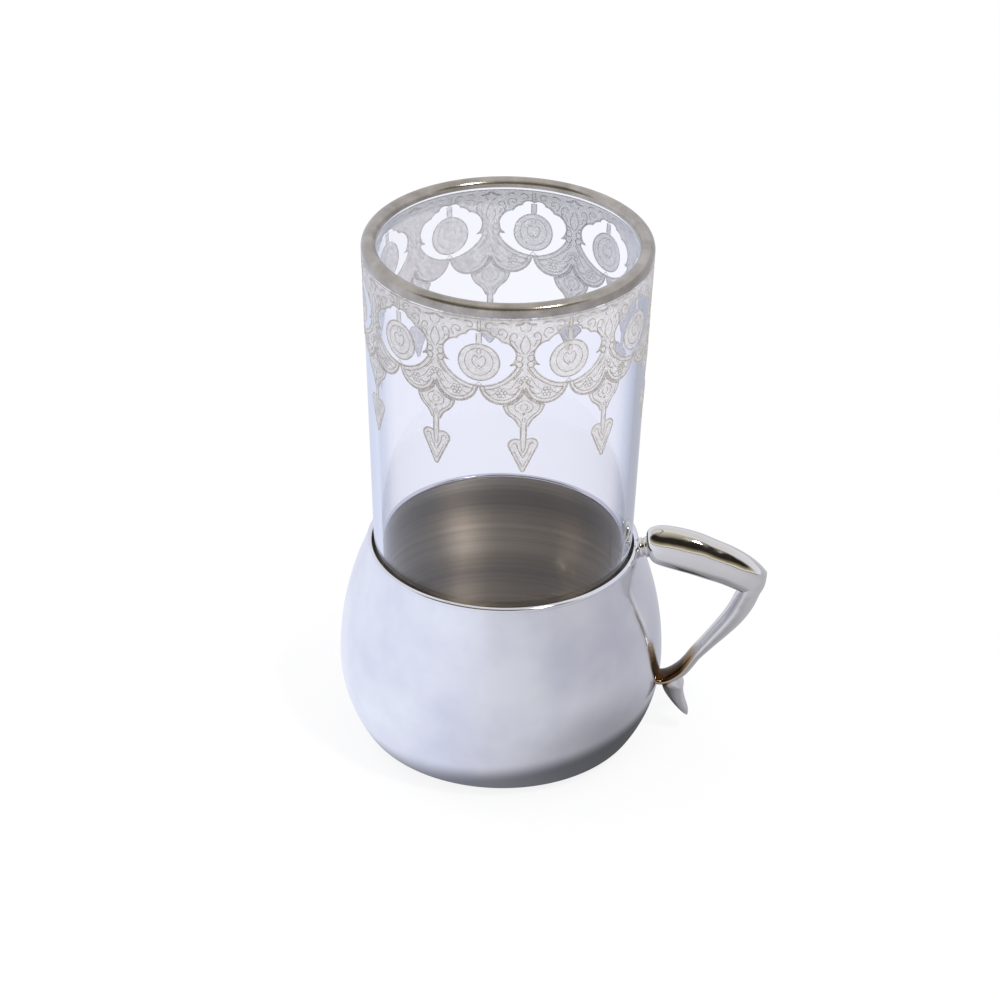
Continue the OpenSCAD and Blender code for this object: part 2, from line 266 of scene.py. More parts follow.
def makeSpunSilver():
    # Silver plate left as it was spun on the lathe: warm and satin, with fine rings round the axis
    # that draw each highlight out across them. Bands of painted shade and painted light follow the
    # height, darker and lighter rings of colour that stand in for how the light falls inside the
    # bowl.
    # The rings are drawn one or two mm apart, coarser than the tool leaves them, so that they show
    material, tree, coords = newMaterial("spunSilverPlate")
    along = addNode(tree, "ShaderNodeSeparateXYZ", {"Vector": coords["UV"]})
    flat = addNode(tree, "ShaderNodeSeparateXYZ", {"Vector": coords["Object"]})
    rows = addNode(tree, "ShaderNodeMath", {0: along.outputs["Y"], 1: 700.0}, operation="MULTIPLY")
    joined = addNode(tree, "ShaderNodeCombineXYZ",
                     {"X": flat.outputs["X"], "Y": flat.outputs["Y"], "Z": rows})
    rings = addNode(tree, "ShaderNodeTexNoise",
                    {"Vector": joined, "Scale": 1.0, "Detail": 3.0, "Roughness": 0.65})
    bump = addNode(tree, "ShaderNodeBump", {"Height": rings, "Strength": 0.3, "Distance": 0.0002})
    height = addNode(tree, "ShaderNodeMapRange",
                     {"Value": flat.outputs["Z"], "From Min": 0.0,
                      "From Max": bowl["shadeBandSpan"] * mm})
    # Painted shade and painted light: the colour goes darker and lighter in bands by height
    paintedShadeBands = addNode(tree, "ShaderNodeValToRGB", {"Fac": height},
                  [(0.05, "#c4b8a6"), (0.3, "#c2b6a2"), (0.38, "#a3988a"), (0.44, "#b9ae9e"),
                   (0.49, "#cfc5b5"), (0.52, "#efe8da"), (0.66, "#f1eadc"), (0.74, "#cfc6b7"),
                   (0.82, "#9c958a"), (0.88, "#979186"), (0.92, "#c2bdb2"), (0.96, "#efebe2"),
                   (1.0, "#fbfaf6")])
    streaks = addNode(tree, "ShaderNodeMapRange",
                      {"Value": rings, "From Min": 0.35, "From Max": 0.65,
                       "To Min": 0.7, "To Max": 1.0})
    tint = addNode(tree, "ShaderNodeVectorMath", {0: paintedShadeBands, "Scale": streaks}, operation="SCALE")
    roundAxis = addNode(tree, "ShaderNodeTangent", direction_type="RADIAL", axis="Z")
    shader = addNode(tree, "ShaderNodeBsdfPrincipled",
                     {"Base Color": tint, "Metallic": 1.0, "Roughness": 0.36,
                      "Anisotropic": 0.9, "Anisotropic Rotation": 0.25,
                      "Tangent": roundAxis, "Normal": bump})
    addNode(tree, "ShaderNodeOutputMaterial", {"Surface": shader})
    return material


# The tarnish over the handle's foot, in millimetres: its place from the foot, its full and its
# faint reach, and how far its edge wanders
tarnish = {
    "out": 2,
    "up": 2,
    "core": 8,
    "reach": 16,
    "ragged": 8,
}


def makeCastSilver():
    # Cast silver polished by hand: a bright mirror with the faint ripple that the hand leaves, and
    # brown tarnish in the corner over the foot, where the cloth doesn't reach
    material, tree, coords = newMaterial("castSilver")
    place = coords["Object"]
    ripple = addNode(tree, "ShaderNodeTexNoise", {"Vector": place, "Scale": 150.0, "Detail": 2.0})
    haze = addNode(tree, "ShaderNodeTexNoise", {"Vector": place, "Scale": 900.0, "Detail": 3.0})
    rough = addNode(tree, "ShaderNodeMapRange", {"Value": haze, "From Min": 0.3, "From Max": 0.7,
                                                 "To Min": 0.04, "To Max": 0.09})
    bump = addNode(tree, "ShaderNodeBump", {"Height": ripple, "Strength": 0.25, "Distance": 0.0006})
    corner = ((footX + tarnish["out"]) * mm, 0, (limb["footHeight"] + tarnish["up"]) * mm)
    away = addNode(tree, "ShaderNodeVectorMath", {0: place, 1: corner}, operation="DISTANCE")
    ragged = addNode(tree, "ShaderNodeMath", {0: ripple, 1: tarnish["ragged"] * mm,
                                              2: away.outputs["Value"]}, operation="MULTIPLY_ADD")
    near = addNode(tree, "ShaderNodeMapRange", {"Value": ragged, "From Min": tarnish["reach"] * mm,
                                                "From Max": tarnish["core"] * mm})
    inward = addNode(tree, "ShaderNodeVectorMath", {0: coords["Normal"], 1: (-0.6, 0, 0.8)},
                     operation="DOT_PRODUCT")
    upper = addNode(tree, "ShaderNodeMapRange",
                    {"Value": inward.outputs["Value"], "From Min": 0.1, "From Max": 0.45})
    stain = addNode(tree, "ShaderNodeMath", {0: near, 1: upper}, operation="MULTIPLY")
    tint = addNode(tree, "ShaderNodeValToRGB", {"Fac": stain},
                   [(0.0, "#e8e6e4"), (0.5, "#b3946a"), (1.0, "#4a3520")])
    shader = addNode(tree, "ShaderNodeBsdfPrincipled",
                     {"Base Color": tint, "Metallic": 1.0, "Roughness": rough, "Normal": bump})
    addNode(tree, "ShaderNodeOutputMaterial", {"Surface": shader})
    return material


def makeClearGlass():
    # Pressed soda-lime glass, fire polished: clear, with slow waves from the mould
    material, tree, coords = newMaterial("clearGlass")
    place = coords["Object"]
    waves = addNode(tree, "ShaderNodeTexNoise", {"Vector": place, "Scale": 70.0, "Detail": 1.0})
    bump = addNode(tree, "ShaderNodeBump", {"Height": waves, "Strength": 0.05, "Distance": 0.0006})
    # Painted shade and reflection: the base colour grows darker and bluer towards the silhouettes,
    # where the edges of the glass are seen at a grazing angle
    facing = addNode(tree, "ShaderNodeLayerWeight", {"Blend": 0.3}).outputs["Facing"]
    paintedEdgeShade = addNode(tree, "ShaderNodeValToRGB", {"Fac": facing},
                    [(0.0, "#f7f8ff"), (0.38, "#f5f6fe"), (0.5, "#cdd4e9"), (0.65, "#b0bad4"),
                     (1.0, "#8b96b4")])
    shader = addNode(tree, "ShaderNodeBsdfPrincipled",
                     {"Base Color": paintedEdgeShade, "Roughness": 0.0, "IOR": 1.5,
                      "Transmission Weight": 1.0, "Normal": bump})
    addNode(tree, "ShaderNodeOutputMaterial", {"Surface": shader})
    return material


def makePlatinumLustre():
    # Platinum lustre fired on the lip: a thin grey metal film, uneven where the brush laid it
    material, tree, coords = newMaterial("platinumLustre")
    place = coords["Object"]
    brushed = addNode(tree, "ShaderNodeTexNoise", {"Vector": place, "Scale": 220.0, "Detail": 4.0})
    tint = addNode(tree, "ShaderNodeValToRGB", {"Fac": brushed},
                   [(0.3, "#9d978f"), (0.7, "#bfb9b2")])
    shader = addNode(tree, "ShaderNodeBsdfPrincipled",
                     {"Base Color": tint, "Metallic": 0.85, "Roughness": 0.16})
    addNode(tree, "ShaderNodeOutputMaterial", {"Surface": shader})
    return material


def makeEnamel(name, dark, light, alpha, roughness):
    # Fired enamel, etched matt: a thin frosted coat that lets some of the light through
    material, tree, coords = newMaterial(name)
    place = coords["Object"]
    mottle = addNode(tree, "ShaderNodeTexNoise", {"Vector": place, "Scale": 900.0, "Detail": 4.0,
                                                  "Roughness": 0.65})
    tint = addNode(tree, "ShaderNodeValToRGB", {"Fac": mottle}, [(0.35, dark), (0.65, light)])
    shader = addNode(tree, "ShaderNodeBsdfPrincipled",
                     {"Base Color": tint, "Roughness": roughness, "Alpha": alpha})
    addNode(tree, "ShaderNodeOutputMaterial", {"Surface": shader})
    return material


# Turned pieces: bowl, bead, glass and lustre

def bowlSide(inset):
    cornerAngle = math.degrees(math.atan2(cornerDown, lowerArcR - cornerIn))
    mouthAngle = math.degrees(math.asin(mouthRise / (upperArcR - inset)))
    belly = bowl["bellyHeight"]
    return ([(0, inset), (baseR * 0.6, inset), (baseR * 0.97, inset)]
            + arc(baseR, bowl["baseRound"], bowl["baseRound"] - inset, -90, -cornerAngle, 12)[:-1]
            + arc(bowlR - lowerArcR, belly, lowerArcR - inset, -cornerAngle, 0, 14)[:-1]
            + arc(bowlR - upperArcR, belly, upperArcR - inset, 0, mouthAngle, 22))


def makeBowl(polished, spun):
    outer = bowlSide(0)
    inner = bowlSide(bowl["wall"])
    obj = turned("bowl", outer + inner[::-1], bowl["segments"], insideFrom=len(outer) - 1)
    placePiece(obj, "holder", "bowl_metal", [polished, spun], "bowl_shell")


def makeBead(polished):
    profile = arc(beadRing, beadZ, bowl["beadRadius"], 0, 360, 20)[:-1]
    obj = turned("rimBead", profile, bowl["segments"], closed=True)
    placePiece(obj, "holder", "bead_metal", [polished], "rim_bead")


def makeTumbler(glass):
    puntR = footR - 2 * tumbler["heelRound"]
    puntBall = (puntR ** 2 + tumbler["puntDepth"] ** 2) / (2 * tumbler["puntDepth"])
    puntAngle = math.degrees(math.asin(puntR / puntBall))
    leanDeg = math.degrees(lean)
    innerFloor = floorZ + tumbler["bottom"]
    roundZ = innerFloor + tumbler["innerRound"]
    roundX = glassIn(roundZ) - tumbler["innerRound"] / math.cos(lean)
    swellZ = lipZ - tumbler["swellHeight"]
    punt = arc(0, floorZ + tumbler["puntDepth"] - puntBall, puntBall, 90, 90 - puntAngle, 12)
    punt[0] = (0, punt[0][1])
    heel = arc(heelX, heelZ, tumbler["heelRound"], -90, -leanDeg, 12)
    lip = arc(lipRing, lipZ, tumbler["lipRadius"], 0, 180 + tumbler["swellAngle"], 28)
    boreTop = (glassIn(swellZ), swellZ)
    swell = []
    for i in range(1, 9):
        t = i / 8
        soft = t * t * (3 - 2 * t)
        swell.append((lip[-1][0] + (boreTop[0] - lip[-1][0]) * soft,
                      lip[-1][1] + (boreTop[1] - lip[-1][1]) * t))
    inner = arc(roundX, roundZ, tumbler["innerRound"], -leanDeg, -90, 16)
    profile = (punt + heel + between(heel[-1], lip[0], 24) + lip + swell
               + between(boreTop, inner[0], 24) + inner
               + [(roundX * 0.6, innerFloor), (0, innerFloor)])
    obj = turned("tumblerGlass", profile, tumbler["segments"])
    placePiece(obj, "glass", "clear_glass", [glass], "tumbler")
    letLightThrough(obj)


lustre = {
    "drop": 0.9,
    "gap": 0.01,
    "thickness": 0.12,
    "innerAngle": 180,
}


def makeLustre(material):
    gap, thick = lustre["gap"], lustre["thickness"]
    edgeZ = lipZ - lustre["drop"]
    ballR = tumbler["lipRadius"] + gap
    inside = arc(lipRing, lipZ, ballR, 0, lustre["innerAngle"], 28)
    outside = arc(lipRing, lipZ, ballR + thick, lustre["innerAngle"], 0, 28)
    profile = ([(glassOut(edgeZ) + gap, edgeZ)] + inside + outside
               + [(glassOut(edgeZ) + gap + thick, edgeZ)])
    obj = turned("lipLustre", profile, tumbler["segments"], closed=True)
    placePiece(obj, "glass", "lip_lustre", [material], "lip_lustre")


# Handle: neck, grip, limb and spur

neck = {
    "length": 3.0,
    "radius": 1.75,
    "ringRadius": 0.5,
    "rise": 12.0,
    "segments": 64,
}
grip = {
    "reach": 23.2,
    "fall": 7.7,
    "thickness": 9.5,
    "width": 8.6,
    "egg": 0.28,
}
limb = {
    "thickness": 7.4,
    "width": 7.0,
    "footHeight": 13.8,
    "mitreLean": 56.0,
    "mitreSquare": 2.2,
    "egg": 0.12,
}
spur = {
    "length": 8.2,
    "along": 0.79,
}
skinning = {
    "sides": 72,
    "steps": 8,
}
# Each station: share of the reach, share of the fall, lean, share of the thickness, share of the
# width, squareness of the section
gripStations = [
    (0, 0, -12, 0.6, 0.7, 2.1),
    (0.03, -0.02, -9, 0.8, 0.85, 2.1),
    (0.11, -0.03, 1, 0.94, 0.94, 2.1),
    (0.25, 0.04, 8, 1, 0.98, 2.1),
    (0.43, 0.17, 13.5, 1, 1, 2.1),
    (0.59, 0.34, 16.5, 0.96, 0.98, 2.1),
    (0.74, 0.5, 19, 0.92, 0.95, 2.1),
    (0.87, 0.69, 27, 0.86, 0.91, 2.15),
    (0.95, 0.85, 40, 0.8, 0.86, 2.2),
]
limbStations = [
    (0.02, 0.072, 70, 0.9, 0.98, 2.1),
    (0.055, 0.135, 80, 0.78, 0.94, 2.1),
    (0.11, 0.24, 103, 0.68, 0.88, 2.1),
    (0.19, 0.35, 117, 0.62, 0.82, 2.1),
    (0.295, 0.462, 124, 0.55, 0.76, 2.1),
    (0.4, 0.565, 125, 0.48, 0.73, 2.1),
    (0.5, 0.662, 123, 0.42, 0.73, 2.1),
    (0.585, 0.745, 121, 0.385, 0.76, 2.1),
    (0.655, 0.83, 124, 0.38, 0.8, 2.1),
    (0.73, 0.905, 136, 0.38, 0.83, 2.1),
    (0.83, 0.965, 158, 0.34, 0.84, 2.1),
    (0.92, 0.995, 174, 0.29, 0.83, 2.1),
    (1, 1, 180, 0.27, 0.82, 2.1),
]
spurStations = [
    (0.04, -0.17, 132, 0.24, 0.7, 3.2),
    (-0.05, 0.08, 104, 0.64, 0.82, 3.4),
    (-0.05, 0.24, 92, 0.62, 0.78, 3.4),
    (0.035, 0.5, 77, 0.45, 0.66, 3.2),
    (0.165, 0.77, 65, 0.31, 0.54, 2.8),
    (0.3, 1, 58, 0.19, 0.4, 2.6),
    (0.365, 1.12, 55, 0.06, 0.25, 2.4),
]

neckRise = math.radians(neck["rise"])
gripLift = neck["radius"] / 3
gripX = beadRing + neck["length"] * math.cos(neckRise) - gripLift * math.sin(neckRise)
gripZ = beadZ + neck["length"] * math.sin(neckRise) + gripLift * math.cos(neckRise)
elbowX = gripX + grip["reach"]
elbowZ = gripZ - grip["fall"]
footDrop = bowl["bellyHeight"] - limb["footHeight"]
footX = bowlR - lowerArcR + math.sqrt(lowerArcR ** 2 - footDrop ** 2) - bowl["wall"] / 2


# The outline of one station, wider below than above by the share egg
def section(station, egg):
    x, z, leanDeg, thickness, width, square = station
    s = math.radians(leanDeg)
    points = []
    for i in range(skinning["sides"]):
        a = 2 * math.pi * i / skinning["sides"]
        up = thickness / 2 * math.copysign(abs(math.cos(a)) ** (2 / square), math.cos(a))
        across = width / 2 * math.copysign(abs(math.sin(a)) ** (2 / square), math.sin(a))
        across *= 1 - egg * math.cos(a)
        points.append(Vector((x + up * math.sin(s), across, z + up * math.cos(s))) * mm)
    return points


def addSkin(bm, stations, eggs):
    count = skinning["sides"]
    rings = []
    rows = smoothRow(stations, skinning["steps"])
    for i, station in enumerate(rows):
        egg = eggs[0] + (eggs[1] - eggs[0]) * i / (len(rows) - 1)
        rings.append([bm.verts.new(p) for p in section(station, egg)])
    for lower, upper in zip(rings, rings[1:]):
        for k in range(count):
            k2 = (k + 1) % count
            bm.faces.new((lower[k], lower[k2], upper[k2], upper[k]))
    bm.faces.new(rings[0])
    bm.faces.new(rings[-1][::-1])


def placedStations(shares, fromX, fromZ, reach, fall, thickness, width):
    return [(fromX + reach * s[0], fromZ - fall * s[1], s[2], thickness * s[3], width * s[4], s[5])
            for s in shares]


def makeHandle(silver):
    mitre = (elbowX, elbowZ, limb["mitreLean"], limb["thickness"], limb["width"],
             limb["mitreSquare"])
    bm = bmesh.new()
    addSkin(bm, placedStations(gripStations, gripX, gripZ, grip["reach"], grip["fall"],
                               grip["thickness"], grip["width"]) + [mitre],
            (grip["egg"], limb["egg"]))
    obj = meshObject("handleGrip", bm, 50)
    placePiece(obj, "holder", "handle_metal", [silver], "handle_grip")

    run, drop = elbowX - footX, elbowZ - limb["footHeight"]
    bm = bmesh.new()
    addSkin(bm, [mitre] + placedStations(limbStations, elbowX, elbowZ, -run, drop,
                                         limb["thickness"], limb["width"]),
            (limb["egg"], 0))
    addSkin(bm, placedStations(spurStations, elbowX - run * spur["along"], limb["footHeight"],
                               spur["length"], spur["length"], limb["thickness"], limb["width"]),
            (0, 0))
    obj = meshObject("handleLimb", bm, 50)
    placePiece(obj, "holder", "handle_metal", [silver], "handle_limb")

    ring, stem = neck["ringRadius"], neck["radius"]
    profile = ([(0, 0), (stem, 0)]
               + arc(stem, bowl["beadRadius"] + 1.2 * ring, ring, -70, 70, 12)
               + arc(stem + ring / 4, neck["length"] - ring, ring, -60, 90, 14)
               + [(0, neck["length"])])
    obj = turned("handleNeck", profile, neck["segments"], sharpAngle=60)
    obj.data.transform(Matrix.Translation(Vector((beadRing, 0, beadZ)) * mm)
                       @ Matrix.Rotation(math.pi / 2 - neckRise, 4, "Y"))
    placePiece(obj, "holder", "handle_metal", [silver], "handle_neck")


# Frieze: fired enamel, drawn flat for one repeat and wrapped round the glass. Flat places are
# across and up from the middle of a medallion

frieze = {
    "repeats": 10,
    "turn": 12.4,
    "fieldGap": 0.3,
    "medallionInset": 10.1,
    "columnWidth": 4.4,
    "windowHeight": 12.9,
    "medallionWidth": 9.0,
    "cuspDrop": 0.7,
    "pendantHeight": 20.6,
    "leafWidth": 9.2,
    "gap": 0.01,
    "coat": 0.07,
    "lineRise": 0.05,
    "lineWidth": 0.24,
    "fineWidth": 0.2,
    "windowLine": 0.32,
    "scallopLine": 0.5,
    "pendantLine": 0.36,
    "edgeInset": 0.3,
    "pendantInset": 0.2,
    "bandInset": 1.15,
    "cutEvery": 0.96,
    "weld": 0.002,
}
repeatWidth = tumbler["lipWidth"] * math.sin(math.pi / frieze["repeats"])
half = repeatWidth / 2
medallionZ = lipZ - lustre["drop"] - frieze["fieldGap"] - frieze["medallionInset"]
windowWidth = repeatWidth - frieze["columnWidth"]
windowHeight = frieze["windowHeight"]
scallopX = repeatWidth / 4
scallopR = math.hypot(scallopX, frieze["cuspDrop"])
scallopY = -0.43 * windowHeight
peakY = -0.49 * windowHeight
# Lobes of a window: place across and up as shares of its width and height, radius as a share of
# its width
windowLobes = [(0, 0, 0.36), (0.31, 0.12, 0.2), (0.16, 0.27, 0.165), (0.075, 0.433, 0.1)]
windowBowlR = 0.58 * windowWidth
windowBowlY = windowBowlR - 0.45 * windowHeight
medallionY = -0.03 * windowHeight
medallionStem = 0.045 * windowWidth
fine = frieze["fineWidth"]


def ellipse(x, y, rx, ry=None, steps=28):
    ry = rx if ry is None else ry
    turns = [2 * math.pi * i / steps for i in range(steps)]
    return [(x + rx * math.cos(a), y + ry * math.sin(a)) for a in turns]


def box(x0, y0, x1, y1):
    return [(x0, y0), (x1, y0), (x1, y1), (x0, y1)]


def mirrored(points):
    return [(-x, y) for x, y in points]


def windowShapes():
    shapes = []
    for x, y, r in windowLobes:
        lobe = ellipse(x * windowWidth, y * windowHeight, r * windowWidth, steps=40)
        shapes += [lobe, mirrored(lobe)]
    brow = -0.07 * windowHeight
    reach = math.degrees(math.asin((windowBowlY - brow) / windowBowlR))
    shapes.append(arc(0, windowBowlY, windowBowlR, 180 + reach, 360 - reach, 40))
    return shapes


def scallopShapes():
    right = ellipse(scallopX, scallopY, scallopR, steps=56)
    return [right, mirrored(right)]


def medallionShapes():
    return [ellipse(0, medallionY, frieze["medallionWidth"] / 2, steps=48),
            box(-medallionStem, medallionY, medallionStem, 0.505 * windowHeight)]


def pendantShapes():
    leafR = frieze["leafWidth"] / 2
    stem = frieze["leafWidth"] * 0.0825
    heartR = frieze["leafWidth"] * 0.18
    tipR = frieze["leafWidth"] * 0.065
    height = frieze["pendantHeight"]
    leafY = peakY - 0.16 * height
    stemTop = peakY - 0.44 * height
    heartY = peakY - 0.67 * height
    tipY = peakY - height
    side = smoothRow([(leafR * 0.98, leafY - leafR * 0.18), (leafR * 0.8, leafY - leafR * 0.62),
                      (leafR * 0.42, leafY - leafR * 0.98), (leafR * 0.22, leafY - leafR * 1.35),
                      (stem, stemTop)], 6)
    shoulder = [(0, leafY)] + side + [(0, stemTop)]
    head = [(0, heartY + heartR * 0.3), (heartR * 1.94, heartY - heartR * 0.3),
            (tipR, tipY + tipR), (0, tipY + tipR)]
    shapes = [ellipse(0, leafY, leafR, steps=56), ellipse(0, tipY + tipR, tipR, steps=16),
              box(-stem, heartY, stem, leafY)]
    for shape in (shoulder, head, ellipse(heartR, heartY, heartR)):
        shapes += [shape, mirrored(shape)]
    return shapes


# Triangles of what lies inside one of the add shapes and outside all the cut shapes, divided by
# upright lines so that they can bend round the glass
def flatRegion(add, cut):
    points, edges, faces = [], [], []
    for shape in add + cut:
        doubled = sum(a[0] * b[1] - b[0] * a[1] for a, b in zip(shape, shape[1:] + shape[:1]))
        if doubled < 0:
            shape = shape[::-1]
        faces.append(list(range(len(points), len(points) + len(shape))))
        points += [Vector(p) for p in shape]
    low = min(p.y for p in points) - 1
    high = max(p.y for p in points) + 1
    columns = math.ceil(2 * half / frieze["cutEvery"])
    for i in range(columns + 1):
        x = half * (2 * i / columns - 1)
        edges.append((len(points), len(points) + 1))
        points += [Vector((x, low)), Vector((x, high))]
    out = delaunay_2d_cdt(points, edges, faces, 0, 1e-4)
    verts, triangles, sources = out[0], out[2], out[5]
    kept = []
    for triangle, source in zip(triangles, sources):
        inAdd = any(s < len(add) for s in source)
        inCut = any(s >= len(add) for s in source)
        middle = sum(verts[i].x for i in triangle) / len(triangle)
        if inAdd and not inCut and abs(middle) < half:
            kept.append(list(triangle))
    return verts, kept


# A thin plate over the triangles. Returns the edges of its outline, and leaves the sides open
# where they meet the next repeat
def addPlate(bm, verts, triangles, openSides):
    top, bottom, walls = {}, {}, {}
    for triangle in triangles:
        for i in triangle:
            if i not in top:
                x, y = verts[i]
                top[i] = bm.verts.new((x * mm, y * mm, frieze["coat"] * mm))
                bottom[i] = bm.verts.new((x * mm, y * mm, 0))
        bm.faces.new([top[i] for i in triangle])
        bm.faces.new([bottom[i] for i in reversed(triangle)])
        for a, b in zip(triangle, triangle[1:] + triangle[:1]):
            if (b, a) in walls:
                del walls[(b, a)]
            else:
                walls[(a, b)] = True
    if openSides:
        walls = [(a, b) for a, b in walls if min(abs(verts[a].x), abs(verts[b].x)) < half - 1e-3]
    for a, b in walls:
        bm.faces.new((top[b], top[a], bottom[a], bottom[b]))
    return list(walls)


# Joins the edges of outlines to rows of points, and says of each whether it is closed
def outlinesOf(verts, walls):
    following = dict(walls)
    rows = []
    while following:
        starts = set(following) - set(following.values())
        start = here = min(starts) if starts else min(following)
        row = [start]
        while here in following:
            here = following.pop(here)
            row.append(here)
        closed = row[0] == row[-1]
        rows.append(([tuple(verts[i]) for i in (row[:-1] if closed else row)], closed))
    return rows


# A coat of enamel over a region of the motif. Returns the rows of points of its outlines
def addCoat(bm, add, cut=(), openSides=False):
    verts, triangles = flatRegion(add, list(cut))
    return outlinesOf(verts, addPlate(bm, verts, triangles, openSides))


# Points about step apart along a row
def evenly(points, step, closed):
    row = points + points[:1] if closed else points
    lengths = [math.dist(a, b) for a, b in zip(row, row[1:])]
    total = sum(lengths)
    count = max(2, round(total / step))
    out = []
    for k in range(count if closed else count + 1):
        want = total * k / count
        i = 0
        while i < len(lengths) - 1 and want > lengths[i]:
            want -= lengths[i]
            i += 1
        t = min(1, want / lengths[i]) if lengths[i] else 0
        a, b = row[i], row[i + 1]
        out.append((a[0] + (b[0] - a[0]) * t, a[1] + (b[1] - a[1]) * t))
    return out


# A raised line of enamel along the points, moved to their left by inset
def addLine(bm, points, width, inset=0.0, closed=False, step=0.45):
    points = evenly(points, step, closed)
    count = len(points)
    low = frieze["coat"]
    rows = []
    for i, point in enumerate(points):
        before = points[i - 1] if closed or i else point
        after = points[(i + 1) % count] if closed or i < count - 1 else point
        along = (Vector(after) - Vector(before)).normalized()
        side = Vector((-along.y, along.x))
        middle = Vector(point) + side * inset
        reach = width / 2 * (1 if closed or 0 < i < count - 1 else 0.4)
        rows.append([bm.verts.new((p.x * mm, p.y * mm, z * mm)) for p, z in (
            (middle + side * reach, low), (middle, low + frieze["lineRise"]),
            (middle - side * reach, low))])
    for i in range(count if closed else count - 1):
        a, b = rows[i], rows[(i + 1) % count]
        for k in range(3):
            k2 = (k + 1) % 3
            bm.faces.new((a[k], a[k2], b[k2], b[k]))
    if not closed:
        bm.faces.new(rows[0][::-1])
        bm.faces.new(rows[-1])


# A smooth line through the points, and its mirror image
def addCurve(bm, points, width=frieze["lineWidth"]):
    row = smoothRow(points, 6)
    addLine(bm, row, width)
    addLine(bm, mirrored(row), width)


def addLoop(bm, x, y, rx, ry=None, width=fine, step=0.3):
    addLine(bm, ellipse(x, y, rx, ry), width, closed=True, step=step)


def addFlower(bm, x, y, reach, petals, petalR):
    for i in range(petals):
        a = 2 * math.pi * (i + 0.5) / petals + math.pi / 2
        addLoop(bm, x + reach * math.cos(a), y + reach * math.sin(a), petalR)


# Bends a flat motif round the glass and repeats it, with the places of the motif as x across,
# y up and z out from the glass
def makeWrapTree():
    tree = bpy.data.node_groups.new("wrapRoundGlass", "GeometryNodeTree")
    tree.interface.new_socket("Geometry", in_out="INPUT", socket_type="NodeSocketGeometry")
    tree.interface.new_socket("Repeats", in_out="INPUT", socket_type="NodeSocketInt")
    for name in ("Turn", "Wrap Radius", "Motif Height", "Foot Height", "Foot Radius", "Slope"):
        tree.interface.new_socket(name, in_out="INPUT", socket_type="NodeSocketFloat")
    tree.interface.new_socket("Enamel", in_out="INPUT", socket_type="NodeSocketMaterial")
    tree.interface.new_socket("Geometry", in_out="OUTPUT", socket_type="NodeSocketGeometry")
    given = addNode(tree, "NodeGroupInput").outputs
    place = addNode(tree, "GeometryNodeInputPosition")
    flat = addNode(tree, "ShaderNodeSeparateXYZ", {"Vector": place}).outputs
    height = addNode(tree, "ShaderNodeMath", {0: flat["Y"], 1: given["Motif Height"]},
                     operation="ADD")
    rise = addNode(tree, "ShaderNodeMath", {0: height, 1: given["Foot Height"]},
                   operation="SUBTRACT")
    glassR = addNode(tree, "ShaderNodeMath", {0: rise, 1: given["Slope"], 2: given["Foot Radius"]},
                     operation="MULTIPLY_ADD")
    radius = addNode(tree, "ShaderNodeMath", {0: glassR, 1: flat["Z"]}, operation="ADD")
    angle = addNode(tree, "ShaderNodeMath", {0: flat["X"], 1: given["Wrap Radius"]},
                    operation="DIVIDE")
    cosine = addNode(tree, "ShaderNodeMath", {0: angle}, operation="COSINE")
    sine = addNode(tree, "ShaderNodeMath", {0: angle}, operation="SINE")
    x = addNode(tree, "ShaderNodeMath", {0: radius, 1: cosine}, operation="MULTIPLY")
    y = addNode(tree, "ShaderNodeMath", {0: radius, 1: sine}, operation="MULTIPLY")
    bent = addNode(tree, "ShaderNodeCombineXYZ", {"X": x, "Y": y, "Z": height})
    wrapped = addNode(tree, "GeometryNodeSetPosition",
                      {"Geometry": given["Geometry"], "Position": bent})
    points = addNode(tree, "GeometryNodeMeshLine", {"Count": given["Repeats"], "Offset": (0, 0, 0)})
    index = addNode(tree, "GeometryNodeInputIndex")
    share = addNode(tree, "ShaderNodeMath", {0: index, 1: given["Repeats"]}, operation="DIVIDE")
    turn = addNode(tree, "ShaderNodeMath", {0: share, 1: 2 * math.pi, 2: given["Turn"]},
                   operation="MULTIPLY_ADD")
    rotation = addNode(tree, "FunctionNodeAxisAngleToRotation", {"Axis": (0, 0, 1), "Angle": turn})
    copies = addNode(tree, "GeometryNodeInstanceOnPoints",
                     {"Points": points, "Instance": wrapped, "Rotation": rotation})
    solid = addNode(tree, "GeometryNodeRealizeInstances", {"Geometry": copies})
    joined = addNode(tree, "GeometryNodeMergeByDistance",
                     {"Geometry": solid, "Distance": frieze["weld"] * mm})
    finished = addNode(tree, "GeometryNodeSetMaterial",
                       {"Geometry": joined, "Material": given["Enamel"]})
    addNode(tree, "NodeGroupOutput", {"Geometry": finished})
    return tree


def wrapMotif(name, bm, tree, shift, wrapR, material, *nodes):
    flat = meshObject(name + "Flat", bm, 30)
    values = {
        "Repeats": frieze["repeats"],
        "Turn": math.radians(frieze["turn"] + shift * 360 / frieze["repeats"]),
        "Wrap Radius": wrapR * mm,
        "Motif Height": medallionZ * mm,
        "Foot Height": floorZ * mm,
        "Foot Radius": (footR + frieze["gap"]) * mm,
        "Slope": slope,
        "Enamel": material,
    }
    modifier = flat.modifiers.new("wrap", "NODES")
    modifier.node_group = tree
    for item in tree.interface.items_tree:
        if item.in_out == "INPUT" and item.name in values:
            modifier[item.identifier] = values[item.name]
    flat.update_tag()
    evaluated = bpy.context.evaluated_depsgraph_get()
    mesh = bpy.data.meshes.new_from_object(flat.evaluated_get(evaluated), depsgraph=evaluated)
    mesh.name = name
    obj = smoothObject(name, mesh, 40)
    bpy.data.objects.remove(flat)
    placePiece(obj, "glass", "frosted_enamel", [], *nodes)
    letLightThrough(obj)


